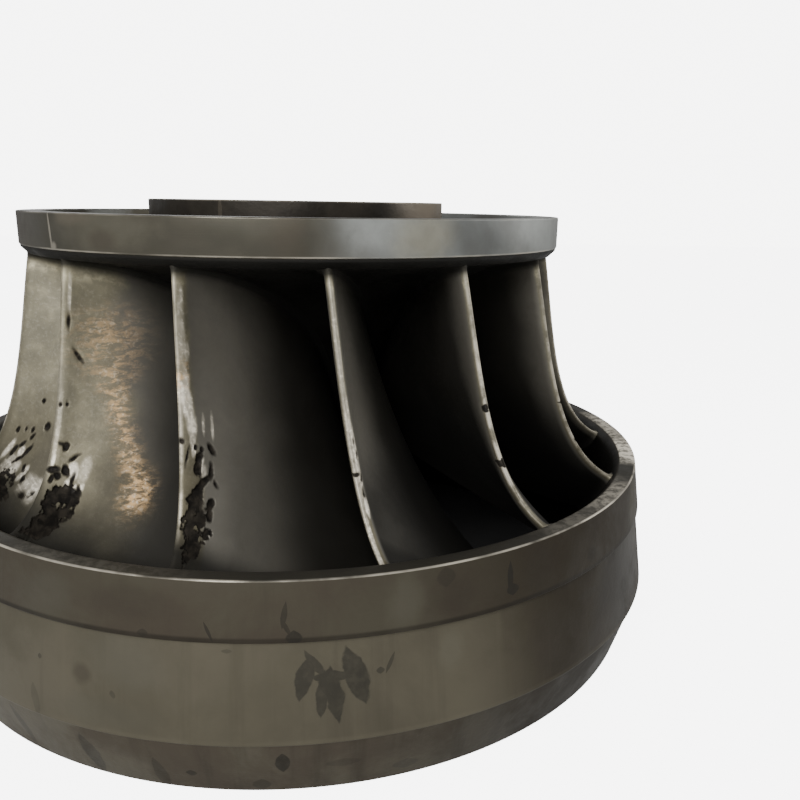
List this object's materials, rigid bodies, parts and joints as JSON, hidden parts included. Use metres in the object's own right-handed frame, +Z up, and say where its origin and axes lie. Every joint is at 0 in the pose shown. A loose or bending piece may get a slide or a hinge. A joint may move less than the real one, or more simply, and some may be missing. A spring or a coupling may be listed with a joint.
{
  "type": "francis turbine runner",
  "caption": "Steel francis turbine runner: crown with raised shaft flange, curved fixed blades and a wide lower band, standing on the band.",
  "frame": {"origin": "centre of the band's bottom face, on the shaft axis", "axes": "+Z up along the shaft axis, towards the shaft flange; -Y towards the viewer of the picture"},
  "size_m": [2.796, 2.796, 1.565],
  "materials": {
    "cast_crown_steel": "dark brownish machined steel, matt",
    "machined_ring_steel": "turned steel, blue-grey, satin",
    "worn_band_steel": "olive-grey turned steel with water stains",
    "dark_band_steel": "dark stained steel",
    "ground_blade_steel": "ground and worn steel with pits"
  },
  "bodies": {
    "root": {"crown": "cast_crown_steel", "crown_seal_ring": "machined_ring_steel", "coupling_flange": "cast_crown_steel", "runner_cone": "cast_crown_steel", "band": "worn_band_steel", "band_seal_ring": "worn_band_steel", "band_outlet_ring": "dark_band_steel", "blade_01": "ground_blade_steel", "blade_02": "ground_blade_steel", "blade_03": "ground_blade_steel", "blade_04": "ground_blade_steel", "blade_05": "ground_blade_steel", "blade_06": "ground_blade_steel", "blade_07": "ground_blade_steel", "blade_08": "ground_blade_steel", "blade_09": "ground_blade_steel", "blade_10": "ground_blade_steel", "blade_11": "ground_blade_steel", "blade_12": "ground_blade_steel", "blade_13": "ground_blade_steel", "blade_14": "ground_blade_steel"}
  },
  "joints": []
}
